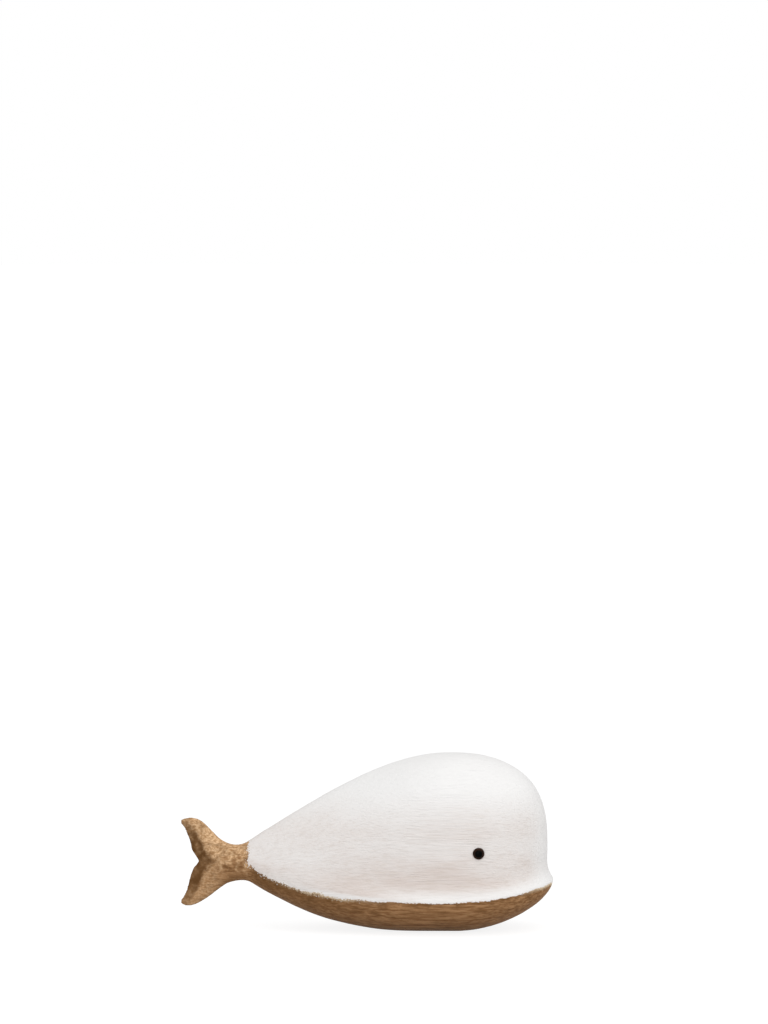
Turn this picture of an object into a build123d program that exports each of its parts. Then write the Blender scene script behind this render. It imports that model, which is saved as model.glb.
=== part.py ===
"""Carved wooden whale ornament: a painted upper block, a bare belly and a bare tail, pegged and glued.

Millimetres. X runs from the tail to the head and Z is up. The whale rests on Z = 0, its middle at X = 0.
"""

from build123d import *
import os
from math import cos, pi, sin, sqrt

# Overall size
LENGTH = 260.0
HEIGHT = 123.4
BEAM = 96.0
CREST_X = 55.0

# Painted upper block: a lip runs round its foot, hollowed out above and fading toward the tail
LIP_FRONT = 4.3
LIP_SIDE = 5.5
LIP_EDGE = 2.2
LIP_FADE = 4.0
COVE_HEIGHT = 14.0
WALL_TOP = 64.4
CROWN_POWER = 2.5
CROWN_FLAT = 0.25
PLAN_POWER = 2.2
BACK_ROUND = 56.4
BACK_TAPER = 1.5
RIDGE_POWER = 8.0

# Seam between the blocks: low amidships, rising to the chin and turning up at the tail
SEAM_LOW = 23.0
SEAM_CHIN_RISE = 10.5
SEAM_TAIL_RISE = 15.0
SEAM_UPTURN_LENGTH = 26.0
SEAM_TAIL_SHARE = 0.4

# Belly block: a round-bilged hull with its keel sanded flat
KEEL_SANDED = 0.8
BOW_START = 63.0
BOW_POWER = 1.71
STERN_START = 35.0
STERN_POWER = 0.438
STERN_TAPER = 1.25
BILGE_POWER = 2.0

# Tail: a round stock and two upright flukes
TAIL_LENGTH = 46.5
TAIL_TOP = 62.4
TAIL_BOTTOM = 35.0
TAIL_WIDTH = 24.0
STOCK_END_WIDTH = 11.0
STOCK_BLEND_SHARE = 0.5
FLUKE_ROOT = 15.0
FLUKE_TIP = 2.4
FLUKE_THINNING_SHARE = 0.6

# Lines of the tail as shares of its length forward of the tip, and of its depth above its underside
STOCK_CROWN_SHARES = [(0.778, 0.898), (0.634, 0.989), (0.409, 1.292)]
STOCK_KEEL_SHARES = [(0.828, -0.018), (0.692, -0.069), (0.409, -0.401)]
UPPER_LEADING_SHARES = [(0.778, 0.898), (0.634, 0.989), (0.404, 1.325),
                        (0.258, 1.533), (0.105, 1.573), (0.001, 1.511)]
UPPER_TRAILING_SHARES = [(0.409, 0.270), (0.265, 0.438), (0.198, 0.635),
                         (0.135, 1.040), (0.065, 1.310), (0.009, 1.423)]
LOWER_LEADING_SHARES = [(0.845, -0.004), (0.692, -0.069), (0.516, -0.270),
                        (0.258, -0.569), (0.077, -0.642), (0.001, -0.569)]
LOWER_TRAILING_SHARES = [(0.409, 0.599), (0.265, 0.438), (0.153, 0.223),
                         (0.108, -0.095), (0.026, -0.445), (0.006, -0.489)]

# Pegs
PEG_DIAMETER = 8.0
PEG_CLEARANCE = 0.1
PEG_CHAMFER = 0.8
PEG_HOLE_SPARE = 1.0
BODY_PEG_LENGTH = 26.0
TAIL_PEG_LENGTH = 36.0
FRONT_PEG_AHEAD = 35.0
REAR_PEG_BEHIND = 45.0
TAIL_PEG_SHARE = 0.64

# Bead eyes, each on a shank pushed into a drilled seat
EYE_SETBACK = 48.7
EYE_HEIGHT = 57.9
EYE_DIAMETER = 8.0
EYE_DOME = 2.4
EYE_RIM = 1.5
EYE_RECESS = 1.2
EYE_SHANK_DIAMETER = 2.4
EYE_SHANK_LENGTH = 9.0
EYE_CLEARANCE = 0.1

# Fineness of the carved surfaces
LOOP_STEPS = 13
ROW_STEPS = 12
COVE_STEPS = 5
WALL_STEPS = 3
RIB_STEPS = 10
HULL_CROWDING = 1.6
SURFACE_TOLERANCE = 0.01
SURFACE_DEGREE = 3
HULL_DEGREE = 5

CHIN_X = LENGTH / 2
TAIL_TIP_X = -LENGTH / 2
TAIL_SEAM_X = TAIL_TIP_X + TAIL_LENGTH
HEAD_X = CHIN_X - LIP_FRONT
HALF_BEAM = BEAM / 2
WALL_HALF = HALF_BEAM - LIP_SIDE
CREST_TOP = HEIGHT + CROWN_FLAT
TAIL_DEPTH = TAIL_TOP - TAIL_BOTTOM
SEAM_TAIL = TAIL_BOTTOM + SEAM_TAIL_SHARE * TAIL_DEPTH
SEAM_UPTURN = SEAM_TAIL - SEAM_LOW - SEAM_TAIL_RISE
BOW_HEIGHT = SEAM_LOW + SEAM_CHIN_RISE + LIP_EDGE
AFT_RUN = CREST_X - TAIL_SEAM_X
FORE_RUN = CHIN_X - CREST_X
BLOCK = 2 * LENGTH


def rounding(share, power):
    """What is left of a rounded corner's half-width at a share of the way out, from 1 down to 0."""
    return (1 - min(1.0, max(0.0, share)) ** power) ** (1 / power)


def fall(drop):
    """How far back the back line has run when it has dropped this far, before scaling to the tail."""
    return sqrt((drop + BACK_ROUND) ** 2 - BACK_ROUND ** 2)


BACK_SLOPE = fall(CREST_TOP - TAIL_TOP) / AFT_RUN
STERN_RATE = (STERN_START - TAIL_SEAM_X) / (TAIL_BOTTOM + KEEL_SANDED) ** STERN_POWER
STERN_SHARE = sqrt(1 - (TAIL_WIDTH / BEAM) ** (1 / STERN_TAPER))


def back_x(z):
    """Where the back line stands at a height."""
    return CREST_X - fall(CREST_TOP - z) / BACK_SLOPE


SEAM_TAIL_PLACE = AFT_RUN / (CREST_X - back_x(SEAM_TAIL))
TAIL_WALL_SHARE = TAIL_WIDTH / 2 / WALL_HALF / sqrt(1 - SEAM_TAIL_PLACE ** RIDGE_POWER)
TAIL_FINENESS = (1 - SEAM_TAIL_PLACE ** 2) ** BACK_TAPER
RIDGE_SHARE = (TAIL_WALL_SHARE - TAIL_FINENESS) / (1 - TAIL_FINENESS)


def back_share(place):
    """Share of the wall's half-width left on the way from the crest, 0, to the back line, 1."""
    taper = RIDGE_SHARE + (1 - RIDGE_SHARE) * max(0.0, 1 - place ** 2) ** BACK_TAPER
    return taper * sqrt(max(0.0, 1 - place ** RIDGE_POWER))


def seam_sweep(x):
    """Height of the seam, leaving out its upturn at the tail."""
    if x < CREST_X:
        return SEAM_LOW + SEAM_TAIL_RISE * ((CREST_X - x) / AFT_RUN) ** 2
    return SEAM_LOW + SEAM_CHIN_RISE * ((x - CREST_X) / FORE_RUN) ** 2


def seam_height(x):
    """Height of the seam where the upper block stands on the belly."""
    upturn = max(0.0, TAIL_SEAM_X + SEAM_UPTURN_LENGTH - x) / SEAM_UPTURN_LENGTH
    return seam_sweep(x) + SEAM_UPTURN * upturn ** 2


def quarter_turn(steps):
    """Angles spread over a quarter turn, both ends included."""
    return [pi / 2 * i / steps for i in range(steps + 1)]


def both_sides(half):
    """A loop round the whale from the points of its left side, which start and end on the middle plane."""
    return half + [Vector(p.X, -p.Y, p.Z) for p in reversed(half[:-1])]


def skinned(rows, most_degree=SURFACE_DEGREE):
    """A solid with a smooth side through rows of points, each a flat loop where it ends."""
    side = Face.make_surface_from_array_of_points(rows, tol=SURFACE_TOLERANCE,
                                                  min_deg=SURFACE_DEGREE, max_deg=most_degree)
    ends = [Face(Wire(edge)) for edge in side.edges() if edge.is_closed]
    return Solid(Shell([side, *ends]))


def crown_share(z):
    """Share of the wall's plan left at a height, as the crown closes over."""
    return rounding((z - WALL_TOP) / (CREST_TOP - WALL_TOP), CROWN_POWER)


def cove_flare(rise):
    """Outward sweep of the hollow above the lip, 1 at the lip's edge and 0 where the wall starts."""
    return (max(0.0, COVE_HEIGHT - rise) / (COVE_HEIGHT - LIP_EDGE)) ** 2


def crown_loop(level):
    """One loop of the upper form; level gives the height above the seam's height."""
    half = []
    for angle in quarter_turn(LOOP_STEPS)[:-1]:
        place = cos(angle)
        foot = seam_sweep(CREST_X - (CREST_X - back_x(SEAM_TAIL)) * place)
        z = level(foot)
        breadth = WALL_HALF * crown_share(z) * back_share(place)
        breadth += LIP_SIDE * cove_flare(z - foot) * (1 - place ** 2) ** LIP_FADE
        half.append(Vector(CREST_X - (CREST_X - back_x(z)) * place, breadth, z))
    for angle in quarter_turn(LOOP_STEPS):
        place = sin(angle) ** (2 / PLAN_POWER)
        foot = seam_sweep(CREST_X + FORE_RUN * place)
        z = level(foot)
        flare = cove_flare(z - foot)
        reach = (HEAD_X - CREST_X) * crown_share(z) + LIP_FRONT * flare
        breadth = (WALL_HALF * crown_share(z) + LIP_SIDE * flare) * rounding(place, PLAN_POWER)
        half.append(Vector(CREST_X + reach * place, breadth, z))
    return both_sides(half)


def crown_rows():
    """Rows of the upper form: a flat skirt below the seam, the cove, the wall and the crown."""
    cove = [COVE_HEIGHT / (HEIGHT - SEAM_LOW) * i / COVE_STEPS for i in range(COVE_STEPS + 1)]
    wall_start = (WALL_TOP - SEAM_LOW) / (HEIGHT - SEAM_LOW)
    wall = [cove[-1] + (wall_start - cove[-1]) * i / WALL_STEPS for i in range(1, WALL_STEPS)]
    closing = [sin(a) ** (2 / CROWN_POWER) for a in quarter_turn(ROW_STEPS)[:-1]]
    crown = [wall_start + (1 - wall_start) * c for c in closing]
    shares = cove + wall + crown + [1.0]
    skirt = crown_loop(lambda foot: SEAM_LOW - COVE_HEIGHT)
    return [skirt] + [crown_loop(lambda foot, s=s: foot + (HEIGHT - foot) * s) for s in shares]


def keel_height(x):
    """Height of the underside on the middle plane, before it is sanded flat."""
    if x < STERN_START:
        return ((STERN_START - x) / STERN_RATE) ** (1 / STERN_POWER) - KEEL_SANDED
    rake = 1 - rounding((x - BOW_START) / (CHIN_X - BOW_START), BOW_POWER)
    return (BOW_HEIGHT + KEEL_SANDED) * rake - KEEL_SANDED


def lip_half(x):
    """Half-width of the whale at the lip."""
    if x < CREST_X:
        return HALF_BEAM * (1 - min(1.0, STERN_SHARE * (CREST_X - x) / AFT_RUN) ** 2) ** STERN_TAPER
    return HALF_BEAM * rounding((x - CREST_X) / FORE_RUN, PLAN_POWER)


def hull_half(x, z):
    """Half-width of the lower form at a place and height."""
    keel = keel_height(x)
    bilge = 1 - (z - keel) / (seam_height(x) - keel)
    return lip_half(x) * rounding(bilge, BILGE_POWER)


def hull_loop(z):
    """One level loop of the lower form."""
    depth = z + KEEL_SANDED
    stern = max(STERN_START - STERN_RATE * depth ** STERN_POWER, TAIL_SEAM_X - TAIL_WIDTH / 2)
    bow_share = rounding(1 - depth / (BOW_HEIGHT + KEEL_SANDED), BOW_POWER)
    bow = BOW_START + (CHIN_X - BOW_START) * bow_share
    half = [Vector(stern, 0, z)]
    for angle in quarter_turn(LOOP_STEPS)[1:-1]:
        x = CREST_X - (CREST_X - stern) * cos(angle)
        half.append(Vector(x, hull_half(x, z), z))
    for angle in quarter_turn(LOOP_STEPS)[:-1]:
        x = CREST_X + (bow - CREST_X) * sin(angle) ** (2 / PLAN_POWER)
        half.append(Vector(x, hull_half(x, z), z))
    half.append(Vector(bow, 0, z))
    return both_sides(half)


def hull_rows():
    """Rows of the lower form from the sanded keel to just above the seam, closer together low down."""
    top = SEAM_TAIL + LIP_EDGE
    return [hull_loop(top * (i / ROW_STEPS) ** HULL_CROWDING) for i in range(ROW_STEPS + 1)]


def seam_band(low, high):
    """The region across the whale between two heights measured from the seam."""
    places = [BLOCK / 2, CHIN_X, CREST_X + FORE_RUN / 2, CREST_X, CREST_X - AFT_RUN / 3]
    places += [TAIL_SEAM_X + SEAM_UPTURN_LENGTH * share for share in (1, 0.5, 0, -0.5)]
    with BuildPart() as band:
        with BuildSketch(Plane.XZ.offset(-BEAM)):
            with BuildLine():
                lower = Spline(*[(x, seam_height(x) + low) for x in places])
                upper = Spline(*[(x, seam_height(x) + high) for x in places])
                Line(lower @ 0, upper @ 0)
                Line(lower @ 1, upper @ 1)
            make_face()
        extrude(amount=2 * BEAM)
    return band.part


def rib_loop(start, end, breadth):
    """A loop standing on a line of the middle plane, with a half-thickness for each share of its length."""
    half = []
    for angle in [2 * a for a in quarter_turn(LOOP_STEPS)]:
        share = (1 - cos(angle)) / 2
        half.append(start + (end - start) * share + Vector(0, breadth(share), 0))
    half[0], half[-1] = start, end
    return both_sides(half)


def tail_line(points):
    """A smooth line of the middle plane through points given as shares of the tail's length and depth."""
    return Spline(*[(TAIL_TIP_X + x * TAIL_LENGTH, 0, TAIL_BOTTOM + z * TAIL_DEPTH) for x, z in points])


def lens(share):
    """Half-thickness of an oval across a line, as a share of the greatest."""
    return 2 * sqrt(max(0.0, share * (1 - share)))


def fluke(leading_points, trailing_points):
    """One fluke: thick along its leading edge, thin along its trailing edge and toward the tip."""
    leading, trailing = tail_line(leading_points), tail_line(trailing_points)
    rows = []
    for i in range(RIB_STEPS + 1):
        along = i / RIB_STEPS
        half = (FLUKE_ROOT + (FLUKE_TIP - FLUKE_ROOT) * along) / 2
        rows.append(rib_loop(leading @ along, trailing @ along,
                             lambda share, half=half: half * lens(share) * (1 - FLUKE_THINNING_SHARE * share)))
    return skinned(rows)


def tail_seam_half(z):
    """Half-width of the body where the tail joins it."""
    if z < SEAM_TAIL:
        return hull_half(TAIL_SEAM_X, z)
    place = AFT_RUN / (CREST_X - back_x(z))
    return WALL_HALF * crown_share(z) * back_share(place)


def stock():
    """The tail's stock, which takes the body's section at the seam and an oval one in the flukes."""
    crown_line = tail_line([(1, 1), *STOCK_CROWN_SHARES])
    keel_line = tail_line([(1, 0), *STOCK_KEEL_SHARES])
    rows = []
    for i in range(RIB_STEPS + 1):
        along = i / RIB_STEPS
        half = (TAIL_WIDTH + (STOCK_END_WIDTH - TAIL_WIDTH) * along) / 2
        oval = min(1.0, along / STOCK_BLEND_SHARE)
        rows.append(rib_loop(crown_line @ along, keel_line @ along,
                             lambda share, half=half, oval=oval: oval * half * lens(share)
                             + (1 - oval) * tail_seam_half(TAIL_TOP - TAIL_DEPTH * share)))
    return skinned(rows)


BODY_PEG_SEATS = [(x, 0, seam_height(x)) for x in (CREST_X + FRONT_PEG_AHEAD, CREST_X - REAR_PEG_BEHIND)]
TAIL_PEG_SEAT = Location((TAIL_SEAM_X, 0, TAIL_BOTTOM + TAIL_PEG_SHARE * TAIL_DEPTH), (0, 90, 0))
PEG_HOLE_RADIUS = (PEG_DIAMETER + PEG_CLEARANCE) / 2
BODY_PEG_HOLE = BODY_PEG_LENGTH + 2 * PEG_HOLE_SPARE
TAIL_PEG_HOLE = TAIL_PEG_LENGTH + 2 * PEG_HOLE_SPARE
EYE_X = HEAD_X - EYE_SETBACK
EYE_WALL = WALL_HALF * crown_share(EYE_HEIGHT) * rounding((EYE_X - CREST_X) / (HEAD_X - CREST_X), PLAN_POWER)
EYE_FLOOR = EYE_WALL - EYE_RECESS
EYE_TIP = EYE_FLOOR + EYE_RIM + EYE_DOME

crown_form = skinned(crown_rows())
hull_form = skinned(hull_rows(), HULL_DEGREE)

# The hull carried straight up, which trims the lip to the belly's outline
with BuildPart() as lip_prism:
    add(hull_form)
    extrude(faces().sort_by(Axis.Z)[-1], amount=HEIGHT)

# Painted upper block
with BuildPart() as upper_body:
    add(crown_form)
    add(lip_prism.part, mode=Mode.INTERSECT)
    add(seam_band(-BLOCK, 0), mode=Mode.SUBTRACT)
    split(bisect_by=Plane.YZ.offset(TAIL_SEAM_X), keep=Keep.TOP)
    with Locations(*BODY_PEG_SEATS):
        Cylinder(PEG_HOLE_RADIUS, BODY_PEG_HOLE, mode=Mode.SUBTRACT)
    with Locations(TAIL_PEG_SEAT):
        Cylinder(PEG_HOLE_RADIUS, TAIL_PEG_HOLE, mode=Mode.SUBTRACT)
    for side in (1, -1):
        with Locations(Location((EYE_X, side * EYE_FLOOR, EYE_HEIGHT), (-90 * side, 0, 0))):
            Cylinder((EYE_DIAMETER + EYE_CLEARANCE) / 2, EYE_DIAMETER,
                     align=(Align.CENTER, Align.CENTER, Align.MIN), mode=Mode.SUBTRACT)
            Cylinder((EYE_SHANK_DIAMETER + EYE_CLEARANCE) / 2, EYE_SHANK_LENGTH + EYE_CLEARANCE,
                     align=(Align.CENTER, Align.CENTER, Align.MAX), mode=Mode.SUBTRACT)

# Bare belly block
with BuildPart() as belly:
    add(hull_form)
    add(seam_band(0, BLOCK), mode=Mode.SUBTRACT)
    split(bisect_by=Plane.YZ.offset(TAIL_SEAM_X), keep=Keep.TOP)
    with Locations(*BODY_PEG_SEATS):
        Cylinder(PEG_HOLE_RADIUS, BODY_PEG_HOLE, mode=Mode.SUBTRACT)

# Bare tail
with BuildPart() as tail:
    add(stock())
    add(fluke(UPPER_LEADING_SHARES, UPPER_TRAILING_SHARES))
    add(fluke(LOWER_LEADING_SHARES, LOWER_TRAILING_SHARES))
    with Locations(TAIL_PEG_SEAT):
        Cylinder(PEG_HOLE_RADIUS, TAIL_PEG_HOLE, mode=Mode.SUBTRACT)

# Pegs, one upright at the head, one upright behind it and one lying in the tail joint
with BuildPart() as front_peg:
    with Locations(BODY_PEG_SEATS[0]):
        Cylinder(PEG_DIAMETER / 2, BODY_PEG_LENGTH)
    chamfer(edges().filter_by(GeomType.CIRCLE), PEG_CHAMFER)
with BuildPart() as rear_peg:
    with Locations(BODY_PEG_SEATS[1]):
        Cylinder(PEG_DIAMETER / 2, BODY_PEG_LENGTH)
    chamfer(edges().filter_by(GeomType.CIRCLE), PEG_CHAMFER)
with BuildPart() as tail_peg:
    with Locations(TAIL_PEG_SEAT):
        Cylinder(PEG_DIAMETER / 2, TAIL_PEG_LENGTH)
    chamfer(edges().filter_by(GeomType.CIRCLE), PEG_CHAMFER)

# Bead eyes
with BuildPart() as left_eye:
    with BuildSketch(Plane.XY.offset(EYE_HEIGHT)):
        with BuildLine():
            outline = Polyline((EYE_X, EYE_TIP), (EYE_X, EYE_FLOOR - EYE_SHANK_LENGTH),
                               (EYE_X + EYE_SHANK_DIAMETER / 2, EYE_FLOOR - EYE_SHANK_LENGTH),
                               (EYE_X + EYE_SHANK_DIAMETER / 2, EYE_FLOOR),
                               (EYE_X + EYE_DIAMETER / 2, EYE_FLOOR),
                               (EYE_X + EYE_DIAMETER / 2, EYE_FLOOR + EYE_RIM))
            TangentArc(outline @ 0, outline @ 1, tangent=(1, 0))
        make_face()
    revolve(axis=Axis((EYE_X, EYE_FLOOR, EYE_HEIGHT), (0, 1, 0)))
with BuildPart() as right_eye:
    add(mirror(left_eye.part, about=Plane.XZ, mode=Mode.PRIVATE))

os.makedirs("parts", exist_ok=True)
PIECES = {
    "upper_body": upper_body,
    "belly": belly,
    "tail": tail,
    "front_peg": front_peg,
    "rear_peg": rear_peg,
    "tail_peg": tail_peg,
    "left_eye": left_eye,
    "right_eye": right_eye,
}
for name, piece in PIECES.items():
    piece.part.label = name
    export_step(piece.part, f"parts/{name}.step")
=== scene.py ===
"""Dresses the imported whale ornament: carved and painted wood, bead eyes, a studio and a camera."""

import logging
import math
from dataclasses import dataclass, field
from enum import Enum

import bmesh
import bpy
import numpy as np
from mathutils import Matrix, Vector, noise
from mathutils.bvhtree import BVHTree


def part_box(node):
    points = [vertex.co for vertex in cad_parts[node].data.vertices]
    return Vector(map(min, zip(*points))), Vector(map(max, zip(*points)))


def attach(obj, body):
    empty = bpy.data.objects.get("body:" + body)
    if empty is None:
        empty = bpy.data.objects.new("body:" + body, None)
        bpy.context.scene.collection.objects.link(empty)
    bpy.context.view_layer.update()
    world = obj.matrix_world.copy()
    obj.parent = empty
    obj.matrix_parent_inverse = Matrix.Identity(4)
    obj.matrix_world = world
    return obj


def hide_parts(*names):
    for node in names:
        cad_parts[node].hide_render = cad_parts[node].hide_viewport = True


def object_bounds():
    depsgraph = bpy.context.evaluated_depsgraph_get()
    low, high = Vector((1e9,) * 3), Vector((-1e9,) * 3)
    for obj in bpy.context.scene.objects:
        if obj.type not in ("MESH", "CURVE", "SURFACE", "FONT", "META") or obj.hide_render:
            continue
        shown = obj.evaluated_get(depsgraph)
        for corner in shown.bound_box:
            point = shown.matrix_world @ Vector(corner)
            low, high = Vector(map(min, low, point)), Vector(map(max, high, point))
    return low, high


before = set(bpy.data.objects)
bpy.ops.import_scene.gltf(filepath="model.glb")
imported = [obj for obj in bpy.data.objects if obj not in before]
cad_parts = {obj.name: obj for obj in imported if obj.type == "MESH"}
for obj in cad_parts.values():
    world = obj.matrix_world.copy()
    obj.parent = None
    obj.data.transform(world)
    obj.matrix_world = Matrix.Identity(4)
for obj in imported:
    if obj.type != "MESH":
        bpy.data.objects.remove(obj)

CAD_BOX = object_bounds()
MILLIMETRE = 0.001
WELD = 0.001 * MILLIMETRE
ON_PLANE = 1e-7
NOT_ZERO = 1e-9
NOISE_MIDDLE = 0.5
WHITE = (1.0, 1.0, 1.0, 1.0)
PEG_NODES = ("front_peg", "rear_peg", "tail_peg")
EYE_NODES = ("left_eye", "right_eye")
# Places of the two inputs and of the result on a mix node, by what it mixes.
MIX_PLACES = {"RGBA": (6, 7, 2), "VECTOR": (4, 5, 1)}

Colour = tuple[float, float, float, float]
Triple = tuple[float, float, float]
Band = tuple[float, float]
Array = np.ndarray
Mesh = bpy.types.Mesh
Shape = bmesh.types.BMesh
Piece = bpy.types.Object
Material = bpy.types.Material
Socket = bpy.types.NodeSocket
Value = Socket | float | str | tuple[float, ...]
Inputs = dict[str | int, Value]

log = logging.getLogger("whale")


class Block(Enum):
    """The wooden pieces, by the node that each stands for."""

    UPPER = "upper_body"
    BELLY = "belly"
    TAIL = "tail"


class Slot(Enum):
    """The finishes, by the names of their materials."""

    PAINT = "white_paint"
    STAIN = "stained_wood"
    BEAD = "black_bead"


class Attribute(Enum):
    """Values that the pieces carry on their points for the finishes to read."""

    PAINT = "paint_edge"
    RAGGED = "paint_ragged"
    # How thin the paint is. It also carries painted shade on the sides and in the cove above the lip.
    THIN = "paint_thin_and_shade"
    HAZE = "paint_haze"
    TAN = "wood_tan"
    # Darker stain, which also carries painted shade on the tail's trailing bevels and along sharp edges.
    SHADE = "wood_shade"
    FLECKS = "fleck_share"
    RIM = "bead_rim"


def mm(low: float, high: float) -> Band:
    """A band in metres, from its ends in millimetres."""
    return low * MILLIMETRE, high * MILLIMETRE


def smooth_step(band: Band, value: Array) -> Array:
    """Rise from 0 at the band's low end to 1 at its high end, with level ends."""
    share = np.clip((value - band[0]) / (band[1] - band[0]), 0.0, 1.0)
    return share * share * (3.0 - 2.0 * share)


def swell(middle: float, length: float, value: Array) -> Array:
    """Swell to 1 at the middle and fade to 0 over a length on both sides."""
    return np.exp(-((value - middle) / length) ** 2)


def srgb(red: int, green: int, blue: int) -> Colour:
    """Turn a colour as seen on a screen, from 0 to 255, into the linear colour that a shader takes."""
    linear = [((c / 255 + 0.055) / 1.055) ** 2.4 for c in (red, green, blue)]
    return (linear[0], linear[1], linear[2], 1.0)


def points_of(mesh: Mesh) -> Array:
    """A mesh's points, one a row."""
    points = np.empty(len(mesh.vertices) * 3)
    mesh.vertices.foreach_get("co", points)
    return points.reshape(-1, 3)


def normals_of(mesh: Mesh) -> Array:
    """The directions that a mesh's points face, one a row."""
    normals = np.empty(len(mesh.vertices) * 3)
    mesh.vertex_normals.foreach_get("vector", normals)
    return normals.reshape(-1, 3)


def edges_of(mesh: Mesh) -> Array:
    """The two points of each of a mesh's edges, one edge a row."""
    edges = np.empty(len(mesh.edges) * 2, dtype=int)
    mesh.edges.foreach_get("vertices", edges)
    return edges.reshape(-1, 2)


def move_points(mesh: Mesh, points: Array) -> None:
    """Move a mesh's points to new places."""
    mesh.vertices.foreach_set("co", points.ravel())
    mesh.update()


def write_values(mesh: Mesh, name: Attribute, values: Array) -> None:
    """Put one value on each point of a mesh."""
    layer = mesh.attributes.new(name.value, "FLOAT", "POINT")
    layer.data.foreach_set("value", values.astype(np.float32))


def merged_copy(node: str) -> Shape:
    """Copy a node's solid with its loose triangles joined up.

    Args:
        node: The node's name.

    Returns:
        A shape that the caller frees.
    """
    shape = bmesh.new()
    shape.from_mesh(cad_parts[node].data)
    bmesh.ops.remove_doubles(shape, verts=shape.verts, dist=WELD)
    return shape


def to_mesh(shape: Shape, name: str) -> Mesh:
    """Turn a shape into a mesh and free it.

    Args:
        shape: The shape, which is used up.
        name: The mesh's name.

    Returns:
        The mesh.
    """
    mesh = bpy.data.meshes.new(name)
    shape.to_mesh(mesh)
    shape.free()
    return mesh


def new_object(name: str, data: bpy.types.ID) -> Piece:
    """Put a mesh, a lamp or a camera in the scene.

    Args:
        name: The object's name.
        data: What it shows, in the shared frame.

    Returns:
        The new object.
    """
    piece = bpy.data.objects.new(name, data)
    bpy.context.scene.collection.objects.link(piece)
    return piece


def settle(holder: Piece, *tools: Piece) -> Mesh:
    """Apply an object's modifiers and remove the object and its tools.

    Args:
        holder: The object, which is used up.
        *tools: Objects that its modifiers work with, which are used up too.

    Returns:
        The mesh that the modifiers give.
    """
    graph = bpy.context.evaluated_depsgraph_get()
    mesh = bpy.data.meshes.new_from_object(holder.evaluated_get(graph))
    for used in (holder, *tools):
        data = used.data
        bpy.data.objects.remove(used)
        bpy.data.meshes.remove(data)
    return mesh


class Tree:
    """A node tree, with a short call that adds a node and fills its inputs."""

    def __init__(self, tree: bpy.types.NodeTree) -> None:
        """Take over a tree and empty it."""
        self.tree = tree
        tree.nodes.clear()

    def add(self, kind: str, inputs: Inputs | None = None, **settings: str) -> bpy.types.Node:
        """Add a node.

        Args:
            kind: The node's type.
            inputs: Sockets to link from, or plain values, by the input's name or place.
            **settings: The node's own settings.

        Returns:
            The new node.
        """
        node = self.tree.nodes.new(kind)
        for name, setting in settings.items():
            setattr(node, name, setting)
        for key, value in (inputs or {}).items():
            if isinstance(value, Socket):
                self.tree.links.new(value, node.inputs[key])
            else:
                node.inputs[key].default_value = value
        return node

    def math(self, operation: str, first: Value, second: Value) -> Socket:
        """One sum on two values."""
        return self.add("ShaderNodeMath", {0: first, 1: second}, operation=operation).outputs[0]


@dataclass(frozen=True)
class Pattern:
    """A cloudy noise, with its repeats in a metre along X, Y and Z, and the rise that it is placed on."""

    per_metre: Triple
    detail: float
    rough: float
    band: Band = (0.0, 1.0)
    gives: Band = (0.0, 1.0)
    stir: float = 0.0


class Graph(Tree):
    """A material's node tree, with short calls for the nodes that the finishes share."""

    def __init__(self, name: str) -> None:
        """Start a material with an empty tree."""
        self.material = bpy.data.materials.new(name)
        self.material.use_nodes = True
        super().__init__(self.material.node_tree)

    def noise(self, pattern: Pattern) -> Socket:
        """A pattern's noise on object coordinates.

        Args:
            pattern: The pattern.

        Returns:
            The noise, about 0.5 on average.
        """
        place = self.add("ShaderNodeTexCoord").outputs["Object"]
        scaled = self.add("ShaderNodeVectorMath", {0: place, 1: pattern.per_metre}, operation="MULTIPLY")
        texture = self.add("ShaderNodeTexNoise", {
            "Vector": scaled.outputs[0], "Scale": 1.0, "Detail": pattern.detail,
            "Roughness": pattern.rough, "Distortion": pattern.stir})
        return texture.outputs["Fac"]

    def banded(self, pattern: Pattern) -> Socket:
        """A pattern's noise, placed on the pattern's rise."""
        return self.rise(self.noise(pattern), pattern.band, pattern.gives)

    def attribute(self, name: Attribute) -> Socket:
        """A value that the piece carries on its points."""
        return self.add("ShaderNodeAttribute", attribute_name=name.value).outputs["Fac"]

    def rise(self, value: Value, band: Band, gives: Band = (0.0, 1.0)) -> Socket:
        """A smooth rise from one value to another, held level outside.

        Args:
            value: What is placed on the rise.
            band: Where the rise starts and ends.
            gives: What it gives below the band and above it.

        Returns:
            The risen value.
        """
        inputs = {"Value": value, "From Min": band[0], "From Max": band[1],
                  "To Min": gives[0], "To Max": gives[1]}
        return self.add("ShaderNodeMapRange", inputs, interpolation_type="SMOOTHSTEP").outputs["Result"]

    def mix(self, kind: str, share: Value, first: Value, second: Value) -> Socket:
        """Mix two colours or two directions.

        Args:
            kind: What is mixed, as the mix node calls it.
            share: How much of the second shows.
            first: The first of them.
            second: The second of them.

        Returns:
            The mixture.
        """
        start, end, result = MIX_PLACES[kind]
        node = self.add("ShaderNodeMix", {0: share, start: first, end: second}, data_type=kind)
        return node.outputs[result]

    def blend(self, share: Value, first: Value, second: Value) -> Socket:
        """Blend two colours, with a share of the second."""
        return self.mix("RGBA", share, first, second)

    def bump(self, height: Value, depth: float, under: Socket | None = None) -> Socket:
        """A fine relief.

        Args:
            height: The relief, from 0 to 1.
            depth: Its depth in metres.
            under: Another relief that this one lies on.

        Returns:
            The normal that shows it.
        """
        inputs: Inputs = {"Distance": depth, "Height": height}
        if under is not None:
            inputs["Normal"] = under
        return self.add("ShaderNodeBump", inputs).outputs["Normal"]

    def finish(self, inputs: Inputs) -> Material:
        """End the tree in a principled surface.

        Args:
            inputs: What fills the surface's inputs.

        Returns:
            The finished material.
        """
        surface = self.add("ShaderNodeBsdfPrincipled", inputs)
        self.add("ShaderNodeOutputMaterial", {"Surface": surface.outputs["BSDF"]})
        return self.material


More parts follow.
